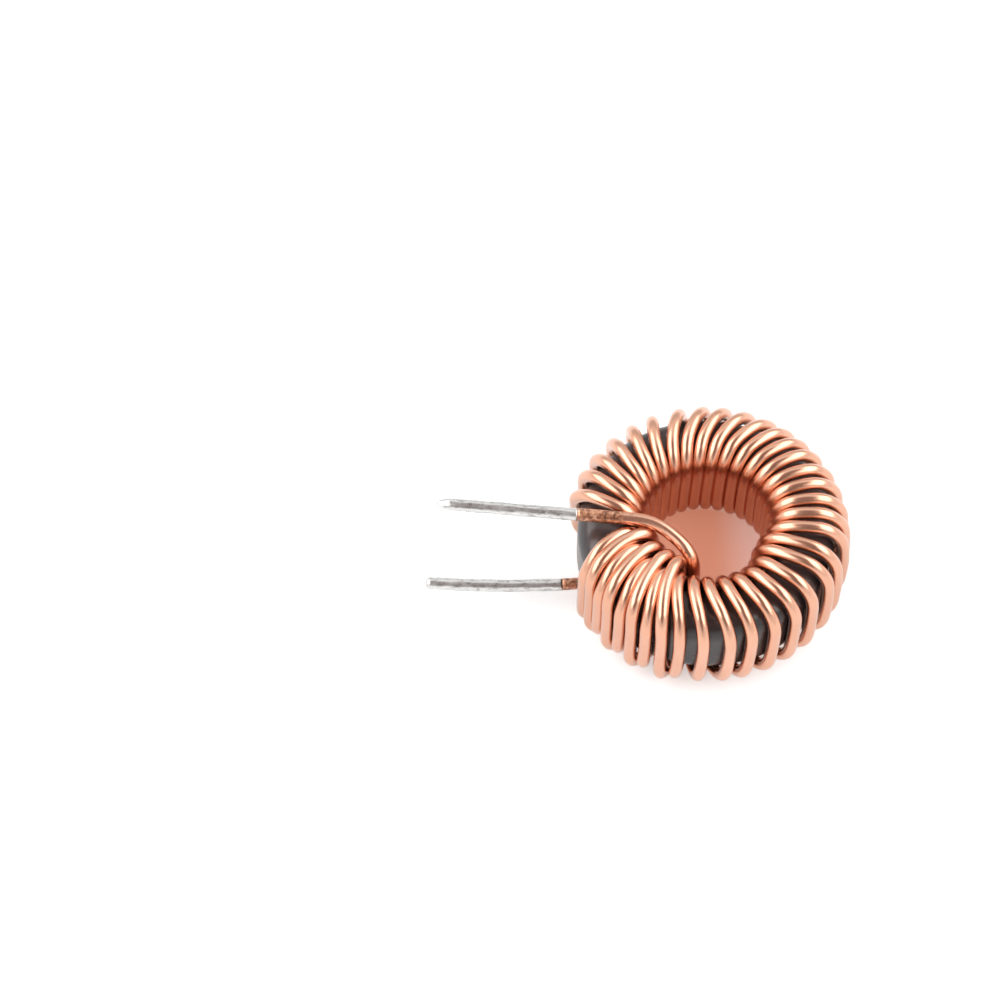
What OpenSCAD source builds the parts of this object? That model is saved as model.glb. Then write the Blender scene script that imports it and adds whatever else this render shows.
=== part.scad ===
// Toroidal inductor: one enamelled wire wound round a coated ring core, tail to tail.
// Millimetres. The ring's axis is Z, both leads leave along -X, and Z = 0 is the lowest wire.
// Angles are in degrees about Z. The winding runs clockwise seen from above.

/* [Core] */
// Outer diameter of the coated ring
core_outer_d = 23.5; // [22:0.1:27]
// Inner diameter of the coated ring
core_inner_d = 13.5; // [13:0.1:16]
// Height of the coated ring
core_h = 7.55; // [5:0.05:12]
// Radius of the ring's rounded edges
core_edge = 1.45; // [1.4:0.05:2]

/* [Wire] */
// Diameter of the wire over its enamel
wire_d = 1.1; // [0.8:0.01:1.12]
// Play between the wire and the ring
play = 0.05; // [0.04:0.01:0.2]
// Radius of the wire's bends at the ring's inner edges
bore_bend = 1.5; // [1:0.05:1.7]
// Radius of the wire's bends at the ring's top outer edge
rim_bend = 2; // [1.4:0.05:2]
// Radius of the wire's bends at the ring's bottom outer edge
foot_bend = 1.65; // [1.2:0.05:1.8]

/* [Winding] */
// Turns laid straight on the ring
first_turns = 32; // [28:1:32]
// Turns laid back over the last of them
second_turns = 4; // [1:1:4]
// Lean of the bore legs, from their top to their foot
bore_lean = 4; // [2:0.5:5]
// How far the slackest bore legs stand in from the others
bore_slack = 0.85; // [0:0.05:0.9]
// How far the slackest outer legs bow out from the others
rim_slack = 0.28; // [0:0.02:0.5]

/* [Leads] */
// Length of the upper lead's tinned end
upper_tinned = 12.75; // [6:0.25:20]
// Length of the lower lead's tinned end
lower_tinned = 12.5; // [6:0.25:20]
// Thickness of the solder on the wire
tin_t = 0.05; // [0.03:0.01:0.12]
// Length of the upper lead's pointed tip
tip_l = 0.6; // [0.2:0.1:1.5]
// Length of the lower lead's blunt, cut tip
cut_l = 0.2; // [0.1:0.05:0.5]

/* [Hidden] */
$fn = 96;

// Step clockwise from each bore leg of the first layer to the next
bore_step = [15.5, 10, 10, 10, 10, 10, 10, 10, 10, 10, 11.5, 10.5, 11, 10.5, 10.5, 10, 10, 11,
             10.5, 12, 12, 12, 11.5, 11, 12, 10, 11, 12, 12.5, 15, 14.5];
// How far each outer leg of the first layer stands clockwise of its bore leg, at the top
skew = [15.5, 12, 11.5, 11.5, 11.5, 13.5, 14.5, 15.5, 14.5, 14.5, 14.5, 12, 10, 7.5, 6.5, 4, 3, 0.5,
        -3, -1.5, -5, -7, -9, -9, -9, -11.5, -10.5, -11.5, -6.5, -7, -9.5, -12];
// Where the first bore leg stands
first_bore = 183;
// Lean of the outer legs: the first, the well spread ones, the next three, the crowded ones
rim_leans = [7.5, 3, 2, 0.5];
rim_leans_from = [1, 25, 28];
// First turn whose wire turns sharply under the ring's rim, and how far clockwise it turns there
sharp_from = 27;
sharp_shift = 3.15;
// How far the wire turns clockwise between the edge of the bore and its leg
knee_shift = 1;
// Where the bore legs and the outer legs are slackest, and how far to each side the slack runs out
bore_slack_at = -27;
bore_slack_half = 30;
rim_slack_at = -5;
rim_slack_half = 55;
// Second layer: clockwise from its outer leg to where it comes out under the rim, for the first
// turn and the others, its skew and its rise by the knee over the top, and how far it sags at the rim
first_over_shift = 1.9;
over_shift = -0.1;
over_skew = 1 / 6;
over_rise = 0.98;
foot_sag = 0.3;

// Heights of the wire's centre: second layer's undersides, first layer's undersides, and tops
wire_r = wire_d / 2;
over_z = wire_r;
under_z = over_z + wire_d;
core_z = under_z + wire_r + play;
top_z = core_z + core_h + wire_r + play;

// Radii of the wire's centre: bore legs, outer legs, and the knees where it turns under and over
bore_r = core_inner_d / 2 - wire_r - play;
rim_r = core_outer_d / 2 + wire_r + 2 * play;
knee_r = bore_r + 1.43 * wire_d;
rim_knee_r = rim_r - 2.25 * wire_d;
over_knee_r = knee_r + 0.75 * wire_d;

// The last bore leg: its shift from its groove, the height where it turns, and its share of bore_r
last_leg_shift = 1.5;
last_leg_h = 8.6;
last_leg_share = 0.72;
// Where its lead swings over the bore and lands: share of bore_r, angle, and rise in wire diameters
swing = [0.6, 228, 0.38];
land = [0.79, 193, 0.92];
upper_heading = 174.6;
// The lower lead: its place across, its heading, and the bare wire before its solder
lower_y = -1.83;
lower_heading = 179.1;
lower_bare = 0.2;
tinned_d = wire_d + 2 * tin_t;

sides = 8;
bend_steps = 3;
clear_d = wire_d + play;
eps = 0.01;

function pol(r, a, z) = [r * cos(a), r * sin(a), z];
function unit(v) = v / norm(v);
function ahead(p, heading, dist) = p + dist * [cos(heading), sin(heading), 0];
function ease(a, at, half) = pow(cos(min(90, abs(a - at) * 90 / half)), 2);

// The angle between two touching wires that stand r from the axis
function touching(r) = 2 * asin(wire_d / (2 * r));
function bore_leg_r(a) = bore_r - bore_slack * ease(a, bore_slack_at, bore_slack_half);
function bow(a) = rim_slack * ease(a, rim_slack_at, rim_slack_half);
function rim_lean(k) = rim_leans[len([for (from = rim_leans_from) if (k >= from) 1])];

last = first_turns - 1;
bore_a = [for (k = 0, a = first_bore; k <= last;
               k = k + 1, a = a - max(bore_step[min(k, last) - 1], touching(bore_leg_r(a)))) a];
rim_a = [for (k = [0:last]) bore_a[k] - skew[k]];

// Each place on the wire's route is [point, bend radius]. A knee has no bend of its own.
function knee(p) = [p, 0];

// One turn of the first layer, from the foot of its bore leg to the foot of its outer leg
function first_turn(k) = let (a = bore_a[k], r = bore_leg_r(a), kr = knee_r - (bore_r - r) / 2,
  o = rim_a[k], lean = rim_lean(k))
  [if (k >= sharp_from) knee(pol(rim_knee_r, rim_a[k - 1] - rim_lean(k - 1) - sharp_shift, under_z)),
   if (k > 0) knee(pol(kr, a + bore_lean - knee_shift, under_z)),
   [pol(r, a + bore_lean, under_z), bore_bend],
   [pol(r, a, top_z), bore_bend],
   knee(pol(kr, a - knee_shift, top_z)),
   [pol(rim_r, o, top_z), rim_bend],
   if (bow(o) > eps) knee(pol(rim_r + bow(o), o - lean / 2, (top_z + under_z) / 2)),
   [pol(rim_r, o - lean, under_z), foot_bend]];

// The groove that second-layer leg j lies in: its angle, radius and rise over the first layer
function groove(j) = let (a = bore_a[last - j], b = bore_a[last - 1 - j],
  half = bore_r * sin((b - a) / 2), rise = sqrt(max(0, clear_d * clear_d - half * half)))
  [(a + b) / 2, bore_r * cos((b - a) / 2) - rise, rise];
function second_rim(j) = (rim_a[last - j] + rim_a[last - 1 - j]) / 2 - min(j, 1) * rim_leans[3];

// One turn of the second layer, in the same order
function second_turn(j) = let (g = groove(j), a = g[0], o = second_rim(j),
  from = j > 0 ? second_rim(j - 1) - over_shift : rim_a[last] - first_over_shift)
  [knee(pol(rim_knee_r, from, over_z)),
   knee(pol(knee_r, a + bore_lean - knee_shift, over_z)),
   [pol(g[1], a + bore_lean, over_z), rim_bend],
   [pol(g[1], a, top_z + g[2] + play), bore_bend],
   knee(pol(over_knee_r, a - knee_shift + (o - a + knee_shift) * over_skew, top_z + over_rise * g[2])),
   [pol(rim_r, o, top_z), foot_bend],
   [pol(rim_r, o - rim_leans[3], under_z - foot_sag), foot_bend]];

// The leads: straight once they are clear of the turns
function over_bore(at) = pol(at[0] * bore_r, at[1], top_z + at[2] * wire_d);
land_p = over_bore(land);
upper_start = ahead(land_p, upper_heading, (-core_outer_d / 2 - land_p[0]) / cos(upper_heading));
lower_start = [-rim_r - wire_r - lower_bare, lower_y, under_z];

// The last bore leg and the upper lead
function tail() = let (g = groove(second_turns), a = g[0] + last_leg_shift)
  [knee(pol(rim_knee_r, second_rim(second_turns - 1) - over_shift, over_z)),
   knee(pol(knee_r, a + bore_lean, over_z)),
   [pol(g[1], a + bore_lean + 1, over_z), rim_bend],
   [pol(last_leg_share * bore_r, a, under_z + last_leg_h), rim_bend],
   [over_bore(swing), rim_bend],
   [land_p, 2 * rim_bend],
   [upper_start, 0]];

route = [[lower_start, 0],
         [ahead(lower_start, lower_heading, -wire_d), 0],
         for (k = [0:last]) each first_turn(k),
         for (j = [0:second_turns - 1]) each second_turn(j),
         each tail()];

// The points of the round bend at place i, or the place itself where it is a knee
function bend(i) = route[i][1] == 0 ? [route[i][0]]
  : let (p = route[i][0], r = route[i][1], a = unit(route[i - 1][0] - p),
         b = unit(route[i + 1][0] - p), half = acos(a * b) / 2, mid = p + unit(a + b) * r / sin(half),
         s = unit(p + a * r / tan(half) - mid), y = cross(unit(cross(b, a)), s), sweep = 180 - 2 * half)
    [for (j = [0:bend_steps]) let (t = sweep * j / bend_steps) mid + r * (s * cos(t) + y * sin(t))];

path = [route[0][0], for (i = [1:len(route) - 2]) each bend(i), route[len(route) - 1][0]];
ends = len(path) - 1;

function along(i) = unit(path[min(i + 1, ends)] - path[max(i - 1, 0)]);
function square_to(u, t) = unit(u - (u * t) * t);
// A direction across the wire at each point, carried along it without twist
across = [for (i = 0, u = square_to([0, 0, 1], along(0)); i <= ends;
               i = i + 1, u = square_to(u, along(min(i, ends)))) u];

module core() {
    flat = [(core_outer_d - core_inner_d) / 2, core_h];
    color("dimgray") translate([0, 0, core_z]) rotate_extrude() translate([core_inner_d / 2, 0]) {
        translate([core_edge, 0]) square(flat - [2 * core_edge, 0]);
        translate([0, core_edge]) square(flat - [0, 2 * core_edge]);
        for (x = [core_edge, flat[0] - core_edge], y = [core_edge, flat[1] - core_edge])
            translate([x, y]) circle(core_edge);
    }
}

module winding() {
    ring = [for (j = [0:sides - 1]) 360 * (j + 0.5) / sides];
    color("peru") polyhedron(
        points = [for (i = [0:ends]) let (u = across[i], v = cross(along(i), u))
                  for (a = ring) path[i] + wire_r * (u * cos(a) + v * sin(a))],
        faces = [[for (j = [sides - 1:-1:0]) j], [for (j = [0:sides - 1]) ends * sides + j],
                 for (i = [0:ends - 1]) for (j = [0:sides - 1])
                     let (a = i * sides + j, b = i * sides + (j + 1) % sides)
                     each [[a, b, b + sides], [a, b + sides, a + sides]]]);
}

// A solder-coated length of wire, pointed over its last taper millimetres
module tinned(start, heading, length, taper) {
    translate(start) rotate([0, 90, heading]) {
        cylinder(h = length - taper, d = tinned_d);
        translate([0, 0, length - taper]) cylinder(h = taper, d1 = tinned_d, d2 = wire_r);
    }
}

module upper_lead_tinning() {
    color("silver") tinned(upper_start, upper_heading, upper_tinned, tip_l);
}

module lower_lead_tinning() {
    color("silver") tinned(lower_start, lower_heading, lower_tinned, cut_l);
}

core();
winding();
upper_lead_tinning();
lower_lead_tinning();
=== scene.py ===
"""Looks of the toroidal inductor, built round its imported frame.

The wire's route, in millimetres and degrees, follows the rules of the part's source and is swept more
finely. Comments say which values differ from the source's. The floor lies just under the lowest wire,
and the camera looks along +Y and down.
"""
import math

import bpy
import numpy as np
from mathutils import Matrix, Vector, noise


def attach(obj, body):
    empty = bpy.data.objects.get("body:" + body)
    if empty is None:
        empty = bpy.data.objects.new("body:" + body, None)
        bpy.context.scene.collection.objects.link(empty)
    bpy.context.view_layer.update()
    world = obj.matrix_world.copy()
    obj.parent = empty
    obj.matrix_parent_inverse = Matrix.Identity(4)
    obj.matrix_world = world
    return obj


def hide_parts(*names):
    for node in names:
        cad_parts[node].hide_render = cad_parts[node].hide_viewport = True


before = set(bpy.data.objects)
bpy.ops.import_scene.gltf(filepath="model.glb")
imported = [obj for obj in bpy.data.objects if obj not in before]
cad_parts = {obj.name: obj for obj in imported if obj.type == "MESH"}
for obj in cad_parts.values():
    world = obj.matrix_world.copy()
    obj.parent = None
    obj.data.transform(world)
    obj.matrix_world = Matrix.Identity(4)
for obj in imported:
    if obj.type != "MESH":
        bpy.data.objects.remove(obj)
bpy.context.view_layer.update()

MM = 0.001                            # in metres
EPS = 0.01                            # a length (mm) or a bend (radians) that is too small to matter

# ---------------------------------------------------------------- sizes, named as in the part's source
CORE_OUTER_D, CORE_INNER_D, CORE_H = 23.5, 13.5, 7.55
WIRE_D, PLAY = 1.1, 0.05
SECOND_TURNS = 4
UPPER_TINNED, LOWER_TINNED, TIN_T = 12.75, 12.5, 0.05
# Lean of the bore legs, and how far the slackest bore legs stand in and outer legs bow out
BORE_LEAN, BORE_SLACK, RIM_SLACK = 4, 0.85, 0.28

# Angles of the turns. They differ from the source's in the first bore leg, the first, 11th and 12th
# steps, most of the skews and the last lean: some make up for the easing in wound, some suit the looks
FIRST_BORE = 178
BORE_STEP = [10.5, 10, 10, 10, 10, 10, 10, 10, 10, 10, 10.9, 11.1, 11, 10.5, 10.5, 10, 10, 11,
             10.5, 12, 12, 12, 11.5, 11, 12, 10, 11, 12, 12.5, 15, 14.5]
SKEW = [11.6, 12.8, 12.3, 13, 13.5, 13.5, 16.2, 16.6, 15.5, 15.5, 15.5, 13.4, 10.5, 7.5, 6.5, 4, 3, 0.5,
        -3, -1.5, -5, -5.5, -7.5, -8.5, -9, -11.5, -10.5, -11.5, -8.4, -8, -10.5, -13]
RIM_LEANS, RIM_LEANS_FROM = [7.5, 3, 2, 1.3], [1, 25, 28]
# First turn that turns sharply under the rim, how far it turns there, and how far the wire turns by the bore
SHARP_FROM, SHARP_SHIFT, KNEE_SHIFT = 27, 3.15, 1
# Where the bore legs and the outer legs are slackest, and how far to each side the slack runs out
BORE_SLACK_AT, BORE_SLACK_HALF = -27, 30
RIM_SLACK_AT, RIM_SLACK_HALF = -5, 55
# Second layer: how far clockwise its outer legs but the first are set. From its outer leg to where it comes
# out under the rim, for the first turn and the others, its skew and its rise by the knee over the top, and
# how far it sags at the rim
SET_BACK = 0.5
FIRST_OVER_SHIFT, OVER_SHIFT, OVER_SKEW, OVER_RISE, FOOT_SAG = 1.9, -0.1, 1 / 6, 0.98, 0.3

# Rounder bends, also at the knees, and a rounder ring edge than the source's
BORE_BEND, RIM_BEND, FOOT_BEND, KNEE_BEND = 1.9, 2.2, 1.8, 6.0
CORE_EDGE = 2.0
# The tops of the turns are crowned by this much, and wire that is already this high is not
CROWN, CROWN_TOP = 0.6, 11.39
# How much prouder the enamel stands above the ring's underside, and how far the outer legs stand in for it
FULLER = 0.05
RIM_INSET = 1.4 * FULLER

# Heights of the wire's centre: second layer's undersides, first layer's undersides, and tops
WIRE_R = WIRE_D / 2
OVER_Z = WIRE_R
UNDER_Z = OVER_Z + WIRE_D
CORE_Z = UNDER_Z + WIRE_R + PLAY
TOP_Z = CORE_Z + CORE_H + WIRE_R + PLAY
# Radii of the wire's centre: bore legs, outer legs, and the knees where it turns under and over
BORE_R = CORE_INNER_D / 2 - WIRE_R - PLAY
RIM_R = CORE_OUTER_D / 2 + WIRE_R + 2 * PLAY - RIM_INSET
KNEE_R = BORE_R + 1.43 * WIRE_D
RIM_KNEE_R = RIM_R - 2.25 * WIRE_D
OVER_KNEE_R = KNEE_R + 0.75 * WIRE_D
CLEAR_D = WIRE_D + PLAY

# The last bore leg, and where its lead swings over the bore and lands: share of BORE_R, angle, and rise in
# wire diameters. The leg's shift, the swing and the bends differ a little from the source's
LAST_LEG_SHIFT, LAST_LEG_R, LAST_LEG_H = 0.6, 0.72 * BORE_R, 8.6
LAST_FOOT_LEAN = BORE_LEAN + 1
SWING, LAND = (0.62, 229, 0.3), (0.79, 193, 0.92)
LAST_TOP_BEND, SWING_BEND, LAND_BEND = 2.4, 3.5, 5
UPPER_HEADING, LOWER_HEADING, LOWER_Y, LOWER_BARE = 174.6, 179.1, -1.83, 0.2
# The lower lead runs this far straight in before it turns, a little farther than in the source
LEAD_IN = 2


def cosd(a):
    return math.cos(math.radians(a))


def sind(a):
    return math.sin(math.radians(a))


def pol(r, a, z):
    return np.array([r * cosd(a), r * sind(a), z])


def unit(v):
    return v / np.linalg.norm(v)


def ahead(p, heading, dist):
    return p + dist * np.array([cosd(heading), sind(heading), 0])


def ease(a, at, half):
    return cosd(min(90, abs(a - at) * 90 / half)) ** 2


def bore_leg_r(a):
    return BORE_R - BORE_SLACK * ease(a, BORE_SLACK_AT, BORE_SLACK_HALF)


def touching(r):
    return 2 * math.degrees(math.asin(WIRE_D / (2 * r)))


def bow(a):
    return RIM_SLACK * ease(a, RIM_SLACK_AT, RIM_SLACK_HALF)


def rim_lean(k):
    return RIM_LEANS[sum(k >= f for f in RIM_LEANS_FROM)]


# ---------------------------------------------------------------- the wire's route
bore_a = [FIRST_BORE]
for step in BORE_STEP:
    bore_a.append(bore_a[-1] - max(step, touching(bore_leg_r(bore_a[-1]))))
rim_a = [b - s for b, s in zip(bore_a, SKEW)]
last = len(bore_a) - 1


def first_turn(k):
    """Places on one turn of the first layer, from the foot of its bore leg to the foot of its outer leg."""
    a, o = bore_a[k], rim_a[k]
    r = bore_leg_r(a)
    kr, lean = KNEE_R - (BORE_R - r) / 2, rim_lean(k)
    places = []
    if k >= SHARP_FROM:
        places.append((pol(RIM_KNEE_R, rim_a[k - 1] - rim_lean(k - 1) - SHARP_SHIFT, UNDER_Z), KNEE_BEND))
    if k > 0:
        places.append((pol(kr, a + BORE_LEAN - KNEE_SHIFT, UNDER_Z), KNEE_BEND))
    places += [(pol(r, a + BORE_LEAN, UNDER_Z), BORE_BEND),
               (pol(r, a, TOP_Z), BORE_BEND),
               (pol(kr, a - KNEE_SHIFT, TOP_Z), KNEE_BEND),
               (pol(RIM_R, o, TOP_Z), RIM_BEND)]
    if bow(o) > EPS:
        places.append((pol(RIM_R + bow(o), o - lean / 2, (TOP_Z + UNDER_Z) / 2), 2 * KNEE_BEND))
    places.append((pol(RIM_R, o - lean, UNDER_Z), FOOT_BEND))
    return places


def groove(j):
    """The groove that second-layer leg j lies in: its angle, radius and rise over the first layer."""
    a, b = bore_a[last - j], bore_a[last - 1 - j]
    half = BORE_R * sind((b - a) / 2)
    rise = math.sqrt(max(0, CLEAR_D ** 2 - half ** 2))
    return (a + b) / 2, BORE_R * cosd((b - a) / 2) - rise, rise


def second_rim(j):
    return (rim_a[last - j] + rim_a[last - 1 - j]) / 2 - min(j, 1) * SET_BACK


def second_turn(j):
    """Places on one turn of the second layer, in the same order."""
    a, r, rise = groove(j)
    o = second_rim(j)
    knee_a = a - KNEE_SHIFT + (o - a + KNEE_SHIFT) * OVER_SKEW
    start = second_rim(j - 1) - OVER_SHIFT if j else rim_a[last] - FIRST_OVER_SHIFT
    return [(pol(RIM_KNEE_R, start, OVER_Z), KNEE_BEND),
            (pol(KNEE_R, a + BORE_LEAN - KNEE_SHIFT, OVER_Z), KNEE_BEND),
            (pol(r, a + BORE_LEAN, OVER_Z), RIM_BEND),
            (pol(r, a, TOP_Z + rise + PLAY), BORE_BEND),
            (pol(OVER_KNEE_R, knee_a, TOP_Z + OVER_RISE * rise), KNEE_BEND),
            (pol(RIM_R, o, TOP_Z), FOOT_BEND),
            (pol(RIM_R, o - RIM_LEANS[3], UNDER_Z - FOOT_SAG), FOOT_BEND)]


def over_bore(share, angle, rise):
    return pol(share * BORE_R, angle, TOP_Z + rise * WIRE_D)


land_p = over_bore(*LAND)
upper_start = ahead(land_p, UPPER_HEADING, (-CORE_OUTER_D / 2 - land_p[0]) / cosd(UPPER_HEADING))
lower_start = np.array([-RIM_R - WIRE_R - LOWER_BARE, LOWER_Y, UNDER_Z])

# The turns, from the lower lead to half-way up the last bore leg, and the tail from there on
turns = [(lower_start, 0), (ahead(lower_start, LOWER_HEADING, -LEAD_IN), KNEE_BEND)]
for k in range(last + 1):
    turns += first_turn(k)
for j in range(SECOND_TURNS):
    turns += second_turn(j)
last_mid, last_r, _ = groove(SECOND_TURNS)
last_a = last_mid + LAST_LEG_SHIFT
last_foot = pol(last_r, last_a + LAST_FOOT_LEAN, OVER_Z)
last_top = pol(LAST_LEG_R, last_a, UNDER_Z + LAST_LEG_H)
half_way = (last_foot + last_top) / 2
turns += [(pol(RIM_KNEE_R, second_rim(SECOND_TURNS - 1) - OVER_SHIFT, OVER_Z), KNEE_BEND),
          (pol(KNEE_R, last_a + BORE_LEAN, OVER_Z), KNEE_BEND),
          (last_foot, BORE_BEND),
          (half_way, 0)]
tail = [(half_way, 0), (last_top, LAST_TOP_BEND), (over_bore(*SWING), SWING_BEND), (land_p, LAND_BEND),
        (upper_start, 0)]


def spread(points, step):
    """The same line with its points evenly spread along it. Columns after the third go along."""
    run = np.r_[0, np.cumsum(np.linalg.norm(np.diff(points[:, :3], axis=0), axis=1))]
    at = np.linspace(0, run[-1], math.ceil(run[-1] / step) + 1)
    return np.stack([np.interp(at, run, points[:, i]) for i in range(points.shape[1])], axis=1)


def eased(values, spacing, reach):
    """Values along an evenly spread line, averaged over a bell. Past its ends it goes straight on."""
    n = math.ceil(3 * reach / spacing)
    bell = np.exp(-0.5 * (np.arange(-n, n + 1) * spacing / reach) ** 2)
    bell /= bell.sum()
    slope_a, slope_b = values[1] - values[0], values[-1] - values[-2]
    longer = np.r_[values[0] + slope_a * np.arange(-n, 0), values, values[-1] + slope_b * np.arange(1, n + 1)]
    return np.convolve(longer, bell, mode="valid")


def wound(places, step=0.1, ease_reach=1.9, bend_reach=0.5):
    """The turns' line, from its places: round bends and crowned tops in radius and height, an eased angle."""
    pts, marks = [places[0][0]], [0]
    for (p, _), (q, _) in zip(places[:-1], places[1:]):
        n = max(1, math.ceil(np.linalg.norm(q - p) / step))
        pts += [p + (q - p) * i / n for i in range(1, n + 1)]
        marks.append(len(pts) - 1)
    pts = np.array(pts)
    r, z = np.hypot(pts[:, 0], pts[:, 1]), pts[:, 2]
    angle = np.unwrap(np.arctan2(pts[:, 1], pts[:, 0]))
    run = np.r_[0, np.cumsum(np.hypot(np.diff(r), np.diff(z)))]
    new_r, new_z = r.copy(), z.copy()
    for i in range(1, len(places) - 1):
        bend = places[i][1]
        m = marks[i]
        p = np.array([r[m], z[m]])
        before = np.array([r[marks[i - 1]], z[marks[i - 1]]])
        after = np.array([r[marks[i + 1]], z[marks[i + 1]]])
        a, b = unit(before - p), unit(after - p)
        half = math.acos(max(-1, min(1, a @ b))) / 2
        if bend == 0 or math.pi / 2 - half < EPS:
            continue
        reach = bend / math.tan(half)
        mid = p + unit(a + b) * bend / math.sin(half)
        start, side = unit(p + a * reach - mid), -a
        sweep = math.pi - 2 * half
        near = np.abs(run - run[m]) < reach
        t = (run[near] - run[m] + reach) / (2 * reach) * sweep
        new_r[near] = mid[0] + bend * (start[0] * np.cos(t) + side[0] * np.sin(t))
        new_z[near] = mid[1] + bend * (start[1] * np.cos(t) + side[1] * np.sin(t))
    # The crown: highest half-way across the ring, fading out over the last millimetre below the tops
    across = np.clip((new_r - BORE_R) / (RIM_R - BORE_R), 0, 1)
    high = np.clip(new_z - TOP_Z + 1, 0, 1)
    room = np.clip((CROWN_TOP - new_z) / (CROWN_TOP - TOP_Z), 0, 1)
    new_z += CROWN * room * np.sin(math.pi * across) * high * high * (3 - 2 * high)
    line = spread(np.stack([new_r * np.cos(angle), new_r * np.sin(angle), new_z, new_r, angle], axis=1), step)
    angle = eased(line[:, 4], step, ease_reach)
    r, z = eased(line[:, 3], step, bend_reach), eased(line[:, 2], step, bend_reach)
    return np.stack([r * np.cos(angle), r * np.sin(angle), z], axis=1)


def rounded(route, turn_step=6.0, bend_share=0.48):
    """The line through a few places in space, with a round bend at each that leaves room for the next."""
    pts = [route[0][0]]
    for i in range(1, len(route) - 1):
        p, r = route[i]
        to_a, to_b = route[i - 1][0] - p, route[i + 1][0] - p
        a, b = unit(to_a), unit(to_b)
        half = math.acos(max(-1, min(1, a @ b))) / 2
        reach = min(r / math.tan(half), bend_share * min(np.linalg.norm(to_a), np.linalg.norm(to_b)))
        r = reach * math.tan(half)
        mid = p + unit(a + b) * r / math.sin(half)
        s = unit(p + a * reach - mid)
        y = np.cross(unit(np.cross(b, a)), s)
        sweep = math.pi - 2 * half
        n = max(2, math.ceil(math.degrees(sweep) / turn_step))
        pts += [mid + r * (s * math.cos(sweep * j / n) + y * math.sin(sweep * j / n)) for j in range(n + 1)]
    pts.append(route[-1][0])
    return np.array(pts)


def drawn(route, step=0.1, reach=0.8):
    """The rounded line with every bend drawn out, as a stiff wire lies."""
    line = spread(rounded(route), step)
    return np.stack([eased(line[:, i], step, reach) for i in range(3)], axis=1)


def tube(name, path, radius, sides):
    """A closed tube round the path, in mm. radius is a function of (share of the path, angle, point)."""
    n = len(path)
    tang = np.empty_like(path)
    tang[1:-1], tang[0], tang[-1] = path[2:] - path[:-2], path[1] - path[0], path[-1] - path[-2]
    tang /= np.linalg.norm(tang, axis=1)[:, None]
    u = np.array([0.0, 0, 1])
    verts, faces = [], []
    run = np.r_[0, np.cumsum(np.linalg.norm(np.diff(path, axis=0), axis=1))]
    for i in range(n):
        u = unit(u - (u @ tang[i]) * tang[i])
        v = np.cross(tang[i], u)
        for s in range(sides):
            a = 2 * math.pi * s / sides
            r = radius(run[i] / run[-1], a, path[i])
            verts.append((path[i] + r * (u * math.cos(a) + v * math.sin(a))) * MM)
    for i in range(n - 1):
        for s in range(sides):
            a, b = i * sides + s, i * sides + (s + 1) % sides
            faces.append((a, b, b + sides, a + sides))
    faces.append(tuple(range(sides - 1, -1, -1)))
    faces.append(tuple((n - 1) * sides + s for s in range(sides)))
    mesh = bpy.data.meshes.new(name)
    mesh.from_pydata([tuple(v) for v in verts], [], faces)
    mesh.polygons.foreach_set("use_smooth", [len(p.vertices) == 4 for p in mesh.polygons])
    mesh.update()
    obj = bpy.data.objects.new(name, mesh)
    bpy.context.collection.objects.link(obj)
    return obj


# ---------------------------------------------------------------- materials
class Nodes:
    """A material's node tree, with short calls that make a node and link its inputs."""

    def __init__(self, name):
        self.mat = bpy.data.materials.new(name)
        self.mat.use_nodes = True
        self.tree = self.mat.node_tree
        self.tree.nodes.clear()
        self.out = self.tree.nodes.new("ShaderNodeOutputMaterial")

    def add(self, kind, props=None, **inputs):
        node = self.tree.nodes.new(kind)
        for key, value in (props or {}).items():
            setattr(node, key, value)
        for key, value in inputs.items():
            self.feed(node, key.replace("_", " "), value)
        return node

    def feed(self, node, key, value):
        socket = node.inputs[key]
        if isinstance(value, bpy.types.NodeSocket):
            self.tree.links.new(value, socket)
        else:
            socket.default_value = value

    def noise(self, coords, scale, detail, rough=0.5):
        return self.add("ShaderNodeTexNoise", Vector=coords, Scale=scale, Detail=detail,
                        Roughness=rough).outputs["Fac"]

    def ramp(self, fac, stops):
        node = self.add("ShaderNodeValToRGB", Fac=fac)
        node.color_ramp.interpolation = "EASE"
        while len(node.color_ramp.elements) < len(stops):
            node.color_ramp.elements.new(0.5)
        for element, (pos, col) in zip(node.color_ramp.elements, stops):
            element.position = pos
            element.color = (*col, 1) if isinstance(col, tuple) else (col, col, col, 1)
        return node.outputs["Color"]

    def mix(self, fac, a, b):
        node = self.add("ShaderNodeMix", {"data_type": "RGBA"})
        for socket, value in ((0, fac), (6, a), (7, b)):
            if isinstance(value, bpy.types.NodeSocket):
                self.tree.links.new(value, node.inputs[socket])
            else:
                node.inputs[socket].default_value = (*value, 1) if isinstance(value, tuple) else value
        return node.outputs[2]

    def math(self, op, a, b):
        node = self.add("ShaderNodeMath", {"operation": op})
        for i, value in enumerate((a, b)):
            if isinstance(value, bpy.types.NodeSocket):
                self.tree.links.new(value, node.inputs[i])
            else:
                node.inputs[i].default_value = value
        return node.outputs[0]

    def bump(self, height, strength, distance):
        return self.add("ShaderNodeBump", Height=height, Strength=strength,
                        Distance=distance).outputs["Normal"]

    def finish(self, shader):
        self.tree.links.new(shader, self.out.inputs["Surface"])
        return self.mat


def object_coords(m):
    return m.add("ShaderNodeTexCoord").outputs["Object"]


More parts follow.
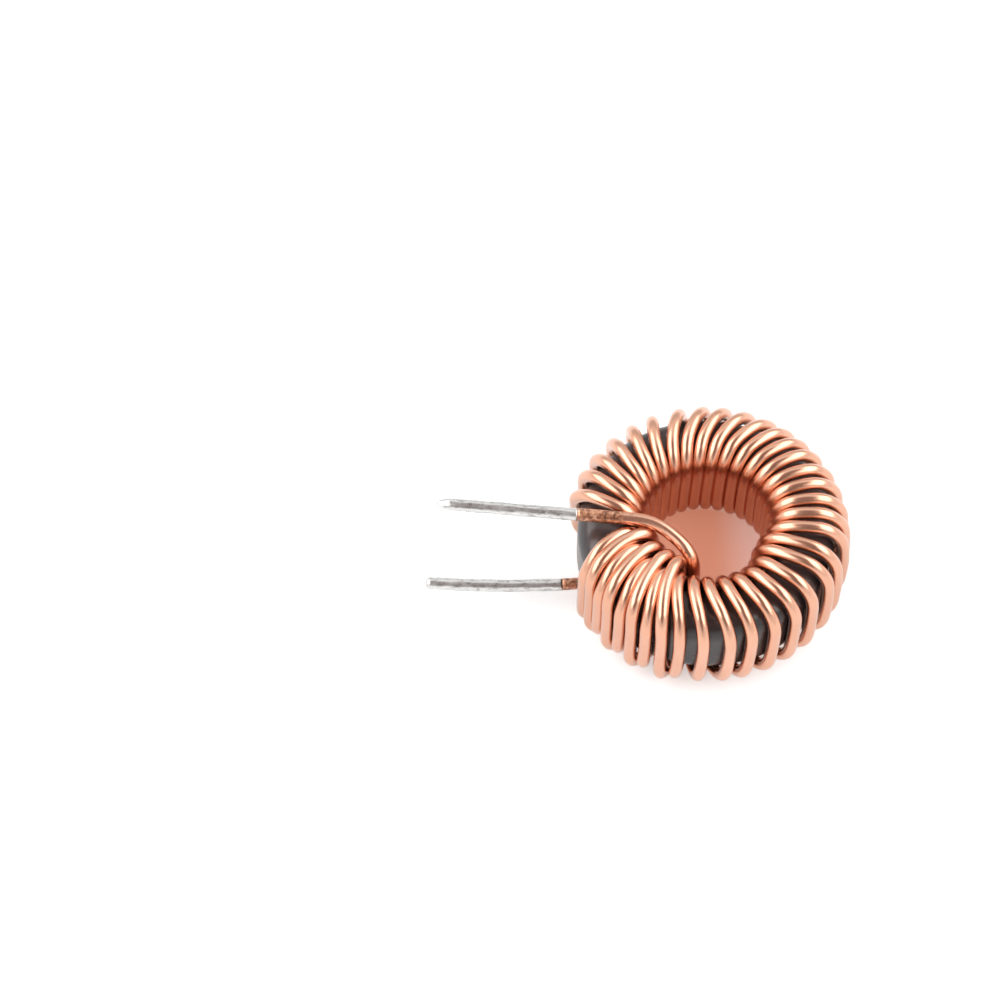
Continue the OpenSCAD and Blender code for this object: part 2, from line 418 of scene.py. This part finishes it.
def copper_material():
    m = Nodes("enamelled_copper")
    co = object_coords(m)
    patch = m.noise(co, 260, 2)
    colour = m.ramp(patch, [(0.3, (0.750, 0.378, 0.243)), (0.7, (0.790, 0.418, 0.278))])
    grain = m.noise(co, 5200, 2)
    # The enamel is scorched where the solder met it; the wire's mesh says how much at each place
    scorch = m.add("ShaderNodeAttribute", {"attribute_name": "scorch"}).outputs["Fac"]
    crust = m.noise(co, 2300, 5, 0.7)
    burnt = m.ramp(m.math("ADD", scorch, m.math("SUBTRACT", m.noise(co, 900, 4), 0.5)),
                   [(0.35, 0.0), (0.65, 1.0)])
    burnt_colour = m.ramp(crust, [(0.36, (0.07, 0.022, 0.012)), (0.47, (0.36, 0.13, 0.06)),
                                  (0.58, (0.72, 0.36, 0.20)), (0.70, (0.90, 0.72, 0.58))])
    colour = m.mix(m.math("MULTIPLY", burnt, 0.85), colour, burnt_colour)
    rough = m.math("ADD", m.math("MULTIPLY", patch, 0.06), 0.23)
    rough = m.math("ADD", rough, m.math("MULTIPLY", burnt, 0.15))
    crusted = m.math("MULTIPLY", m.math("MULTIPLY", crust, burnt), 3.0)
    height = m.math("ADD", m.math("MULTIPLY", grain, 0.12), crusted)
    shader = m.add("ShaderNodeBsdfPrincipled", Metallic=1.0, Base_Color=colour, Roughness=rough,
                   Normal=m.bump(height, 0.35, 0.00003), Coat_Weight=0.8, Coat_Roughness=0.2, Coat_IOR=1.55)
    return m.finish(shader.outputs[0])


def core_material():
    m = Nodes("epoxy_coat")
    co = object_coords(m)
    cloud = m.noise(co, 420, 3)
    colour = m.ramp(cloud, [(0.3, (0.034, 0.028, 0.030)), (0.72, (0.048, 0.040, 0.042))])
    # Painted bounce light: the coat is lighter and browner where it faces up, standing in for the light the
    # copper bounces onto the ring's top between the turns
    normal = m.add("ShaderNodeNewGeometry").outputs["Normal"]
    upward = m.add("ShaderNodeSeparateXYZ", Vector=normal).outputs["Z"]
    colour = m.mix(m.ramp(upward, [(0.5, 0.0), (0.95, 1.0)]), colour, (0.10, 0.068, 0.065))
    peel = m.noise(co, 1100, 3)
    rough = m.math("ADD", m.math("MULTIPLY", m.noise(co, 700, 4), 0.16), 0.15)
    shader = m.add("ShaderNodeBsdfPrincipled", Base_Color=colour, Roughness=rough, IOR=1.54,
                   Normal=m.bump(peel, 0.5, 0.00005))
    return m.finish(shader.outputs[0])


def solder_material():
    m = Nodes("solder")
    co = object_coords(m)
    stretched = m.add("ShaderNodeMapping", Vector=co)
    stretched.inputs["Scale"].default_value = (0.45, 1, 1)
    grain = m.noise(stretched.outputs[0], 3800, 4, 0.65)
    cloud = m.noise(co, 900, 2)
    colour = m.ramp(grain, [(0.32, (0.40, 0.39, 0.37)), (0.5, (0.74, 0.735, 0.72)),
                            (0.75, (0.86, 0.855, 0.84))])
    rough = m.math("ADD", m.math("MULTIPLY", cloud, 0.20), 0.20)
    shader = m.add("ShaderNodeBsdfPrincipled", Metallic=1.0, Base_Color=colour, Roughness=rough,
                   Normal=m.bump(m.math("ADD", grain, m.math("MULTIPLY", cloud, 1.5)), 0.5, 0.00005))
    return m.finish(shader.outputs[0])


copper, epoxy, solder = copper_material(), core_material(), solder_material()


# ---------------------------------------------------------------- pieces
# Spacing of the points along the wire (mm), and the sides of its section
WIRE_STEP, WIRE_SIDES = 0.3, 24
# How far from each end's solder the scorch is half gone (mm)
LOWER_SCORCH, UPPER_SCORCH = 1.3, 4.4
# Height of the lumps in the solder, how far in their middle lies (mm), and its points along and around
LUMP, LUMP_IN, SOLDER_RINGS, SOLDER_SIDES = 0.035, 0.03, 90, 28
# Height of the waves in the ring's coat (mm), and its steps round the ring, round a corner and along a flat
COAT_WAVE, RING_AROUND, RING_CORNER, RING_FLAT = 0.03, 360, 10, 8

wire_line = spread(np.vstack([wound(turns), drawn(tail)[1:]]), WIRE_STEP)


def wire_radius(share, angle, p):
    """Rises with the height of the point alone: the enamel is drawn prouder where it is in sight."""
    return WIRE_R + FULLER * min(1, max(0, p[2] - UNDER_Z))


wire = tube("wire", wire_line, wire_radius, sides=WIRE_SIDES)
run = np.r_[0, np.cumsum(np.linalg.norm(np.diff(wire_line, axis=0), axis=1))]
burn = np.maximum(np.clip(1.5 - run / LOWER_SCORCH, 0, 1),
                  np.clip(1.5 - (run[-1] - run) / UPPER_SCORCH, 0, 1))
scorch = wire.data.attributes.new("scorch", "FLOAT", "POINT")
scorch.data.foreach_set("value", np.repeat(burn, WIRE_SIDES).astype(np.float32))
wire.data.materials.append(copper)
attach(wire, "root")
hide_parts("winding")


def solder_tube(name, start, heading, length, point, end_r, seed, bend=0.0):
    """The tinned end of a lead: solder that is a little uneven and gathers to a tip.

    point is the tip's length and end_r the share of the radius left at its end. seed picks the lumps, and
    bend is how far the lead bows to its side half-way along.
    """
    side = np.array([-sind(heading), cosd(heading), 0])
    share = np.linspace(0, 1, SOLDER_RINGS)
    path = np.array([ahead(start, heading, length * s) + side * bend * math.sin(math.pi * s) for s in share])
    full_r = WIRE_R + TIN_T

    def radius(s, a, p):
        lump = noise.noise(Vector((p[0] * 0.9 + seed, math.cos(a), math.sin(a)))) * LUMP
        left = (1 - s) * length
        taper = 1 if left > point else end_r + (1 - end_r) * math.sqrt(max(0, left / point))
        return (full_r - LUMP_IN + lump) * taper

    obj = tube(name, path, radius, sides=SOLDER_SIDES)
    obj.data.materials.append(solder)
    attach(obj, "root")
    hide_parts(name + "_tinning")


# Their tips are drawn a little longer than in the source
solder_tube("upper_lead", upper_start, UPPER_HEADING, UPPER_TINNED, point=1.2, end_r=0.25, seed=3.0)
solder_tube("lower_lead", lower_start, LOWER_HEADING, LOWER_TINNED, point=0.35, end_r=0.5, seed=11.0,
            bend=0.18)


def ring_core():
    """The coated ring: a rounded rectangle turned round the axis, with the coat's slight waves."""
    half_w, half_h = (CORE_OUTER_D - CORE_INNER_D) / 4, CORE_H / 2
    mid_r, mid_z = (CORE_OUTER_D + CORE_INNER_D) / 4, CORE_Z + CORE_H / 2
    corners = [(1, 1), (-1, 1), (-1, -1), (1, -1)]
    profile = []
    for q, (sx, sz) in enumerate(corners):
        cx, cz = sx * (half_w - CORE_EDGE), sz * (half_h - CORE_EDGE)
        arc = []
        for i in range(RING_CORNER + 1):
            facing = 90 * q + 90 * i / RING_CORNER
            arc.append((cx + CORE_EDGE * cosd(facing), cz + CORE_EDGE * sind(facing), facing))
        profile += arc
        nx, nz = corners[(q + 1) % 4]
        end = arc[-1]
        nxt = (nx * (half_w - CORE_EDGE) + CORE_EDGE * cosd(90 * (q + 1)),
               nz * (half_h - CORE_EDGE) + CORE_EDGE * sind(90 * (q + 1)))
        profile += [(end[0] + (nxt[0] - end[0]) * i / RING_FLAT, end[1] + (nxt[1] - end[1]) * i / RING_FLAT,
                     end[2]) for i in range(1, RING_FLAT)]
    verts, faces, m = [], [], len(profile)
    for k in range(RING_AROUND):
        a = 2 * math.pi * k / RING_AROUND
        for px, pz, facing in profile:
            wave = COAT_WAVE * noise.noise(Vector((math.cos(a) * 5, math.sin(a) * 5, pz * 0.5))) - COAT_WAVE
            r, z = mid_r + px + wave * cosd(facing), mid_z + pz + wave * sind(facing)
            verts.append((r * math.cos(a) * MM, r * math.sin(a) * MM, z * MM))
    for k in range(RING_AROUND):
        after = (k + 1) % RING_AROUND
        for i in range(m):
            a, b = k * m + i, k * m + (i + 1) % m
            c, d = after * m + (i + 1) % m, after * m + i
            faces.append((a, d, c, b))
    mesh = bpy.data.meshes.new("ring_core")
    mesh.from_pydata(verts, [], faces)
    mesh.polygons.foreach_set("use_smooth", [True] * len(faces))
    mesh.update()
    obj = bpy.data.objects.new("ring_core", mesh)
    bpy.context.collection.objects.link(obj)
    obj.data.materials.append(epoxy)
    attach(obj, "root")
    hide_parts("core")


ring_core()

# ---------------------------------------------------------------- studio
CAMERA_ELEVATION = 57.3
CAMERA_DISTANCE = 0.5                 # along the view, from the lens to the ring's base centre (m)
SENSOR = 36.0
PIXELS = 990                          # the photograph's width and height
PX_PER_MM = 10.86                     # at the ring's base, in the photograph's frame
RING_PX = (703.5, 577.2)              # where the ring's base centre lies in the photograph's frame
FLOOR_SIZE, FLOOR_Z = 8, -0.00002     # metres
FLOOR_LIFT = 0.45                     # how far the floor is lifted to white where it is seen

focal_px = PX_PER_MM * CAMERA_DISTANCE / MM
look = Vector((0, cosd(CAMERA_ELEVATION), -sind(CAMERA_ELEVATION)))
up = Vector((0, sind(CAMERA_ELEVATION), cosd(CAMERA_ELEVATION)))
right = Vector((1, 0, 0))
off_x = (RING_PX[0] - PIXELS / 2) / PX_PER_MM * MM
off_y = (PIXELS / 2 - RING_PX[1]) / PX_PER_MM * MM
cam_data = bpy.data.cameras.new("camera")
cam_data.sensor_width = SENSOR
cam_data.lens = focal_px * SENSOR / PIXELS
cam_data.clip_start, cam_data.clip_end = 0.01, 20
camera = bpy.data.objects.new("camera", cam_data)
bpy.context.collection.objects.link(camera)
camera.location = -look * CAMERA_DISTANCE - right * off_x - up * off_y
camera.rotation_euler = (math.radians(90 - CAMERA_ELEVATION), 0, 0)
bpy.context.scene.camera = camera


def make_floor():
    """White ground that stays white to the camera and in what is mirrored; in the bore the copper's bounced
    light is painted on it.
    """
    m = Nodes("white_floor")
    path = m.add("ShaderNodeLightPath").outputs
    co = object_coords(m)
    # On the first ramp 1 is 20 mm from the axis, on the second 10 mm to its right
    from_axis = m.add("ShaderNodeVectorMath", {"operation": "LENGTH"}, Vector=co).outputs["Value"]
    in_bore = m.ramp(m.math("MULTIPLY", from_axis, 50), [(0.36, 1.0), (0.44, 0.0)])
    aside = m.math("MULTIPLY", m.add("ShaderNodeSeparateXYZ", Vector=co).outputs["X"], 100)
    # Painted bounce light in the bore: its copper colour pales from left to right across the bore
    painted_bounce_tint = m.ramp(aside, [(0.05, (0.31, 0.135, 0.085)), (0.50, (0.31, 0.23, 0.21))])
    # In the bore the floor's diffuse colour is painted copper as well, and the glow there is the painted
    # bounce light
    card = m.add("ShaderNodeBsdfDiffuse", Color=m.mix(in_bore, (0.94, 0.94, 0.94), (0.93, 0.52, 0.40)))
    in_gloss = m.math("SUBTRACT", 0.6, m.math("MULTIPLY", in_bore, 0.33))
    mirrored = m.math("MULTIPLY", path["Is Glossy Ray"], in_gloss)
    seen = m.math("MAXIMUM", path["Is Camera Ray"], mirrored)
    lift_and_painted_bounce = m.mix(in_bore, (FLOOR_LIFT, FLOOR_LIFT, FLOOR_LIFT), painted_bounce_tint)
    glow = m.add("ShaderNodeEmission", Color=lift_and_painted_bounce, Strength=seen)
    both = m.add("ShaderNodeAddShader")
    m.tree.links.new(card.outputs[0], both.inputs[0])
    m.tree.links.new(glow.outputs[0], both.inputs[1])
    m.finish(both.outputs[0])
    bpy.ops.mesh.primitive_plane_add(size=FLOOR_SIZE, location=(0, 0, FLOOR_Z))
    floor = bpy.context.object
    floor.name = "floor"
    floor.data.materials.append(m.mat)


make_floor()


def direction(azimuth, elevation):
    """A unit vector; azimuth 0 is +Y, the far side from the camera, and +X is at 90."""
    return Vector((sind(azimuth) * cosd(elevation), cosd(azimuth) * cosd(elevation), sind(elevation)))


def softbox(name, azimuth, elevation, size, radiance, distance=0.8):
    """A rectangular lamp that faces the ring."""
    data = bpy.data.lights.new(name, "AREA")
    data.shape = "RECTANGLE"
    data.size, data.size_y = size
    data.energy = radiance * math.pi * size[0] * size[1]
    lamp = bpy.data.objects.new(name, data)
    bpy.context.collection.objects.link(lamp)
    lamp.location = direction(azimuth, elevation) * distance
    lamp.rotation_euler = (-lamp.location).to_track_quat("-Z", "Y").to_euler()


def dark_card(name, azimuth, elevation, size, shade, distance, soft=0.6, edge=0.98):
    """A darker oval place in the studio that only shows in mirroring surfaces, with soft edges."""
    m = Nodes(name)
    dist = m.add("ShaderNodeVectorMath", {"operation": "LENGTH"}, Vector=object_coords(m)).outputs["Value"]
    fade = m.ramp(dist, [(soft, 1.0), (edge, 0.0)])
    both = m.add("ShaderNodeMixShader", Fac=fade)
    m.tree.links.new(m.add("ShaderNodeBsdfTransparent").outputs[0], both.inputs[1])
    m.tree.links.new(m.add("ShaderNodeEmission", Color=(*shade, 1)).outputs[0], both.inputs[2])
    m.finish(both.outputs[0])
    bpy.ops.mesh.primitive_circle_add(vertices=64, radius=1, fill_type="NGON")
    card = bpy.context.object
    card.name = name
    card.scale = (size[0] / 2, size[1] / 2, 1)
    card.location = direction(azimuth, elevation) * distance
    card.rotation_euler = (-card.location).to_track_quat("-Z", "Y").to_euler()
    card.data.materials.append(m.mat)
    card.visible_camera = False
    card.visible_shadow = False
    card.visible_diffuse = False


# Two softboxes light the ring from its sides. A dark card stands over the camera's side, a pale one low
# on the far side
BOX_ELEVATION, BOX_SIZE, BOX_RADIANCE = 45, (1.15, 0.60), 2.35
softbox("left_box", -92, BOX_ELEVATION, BOX_SIZE, BOX_RADIANCE)
softbox("right_box", 88, BOX_ELEVATION, BOX_SIZE, BOX_RADIANCE)
dark_card("ceiling", 180, 62, (1.35, 2.6), (0.25, 0.20, 0.195), distance=0.95)
dark_card("far_wall", 0, 14, (2.6, 0.9), (0.72, 0.72, 0.72), distance=1.1)

AMBIENT = 0.26                        # the white room's strength on dull surfaces; where it is seen it is 1
world = bpy.data.worlds.new("studio")
bpy.context.scene.world = world
world.use_nodes = True
wt = world.node_tree
wt.nodes.clear()
world_out = wt.nodes.new("ShaderNodeOutputWorld")
sky = wt.nodes.new("ShaderNodeBackground")
ray = wt.nodes.new("ShaderNodeLightPath")
seen = wt.nodes.new("ShaderNodeMath")
seen.operation = "MAXIMUM"
level = wt.nodes.new("ShaderNodeMapRange")
level.inputs["To Min"].default_value = AMBIENT
level.inputs["To Max"].default_value = 1.0
sky.inputs["Color"].default_value = (1, 1, 1, 1)
wt.links.new(ray.outputs["Is Camera Ray"], seen.inputs[0])
wt.links.new(ray.outputs["Is Glossy Ray"], seen.inputs[1])
wt.links.new(seen.outputs[0], level.inputs["Value"])
wt.links.new(level.outputs["Result"], sky.inputs["Strength"])
wt.links.new(sky.outputs[0], world_out.inputs[0])

bpy.context.scene.view_settings.view_transform = "Standard"
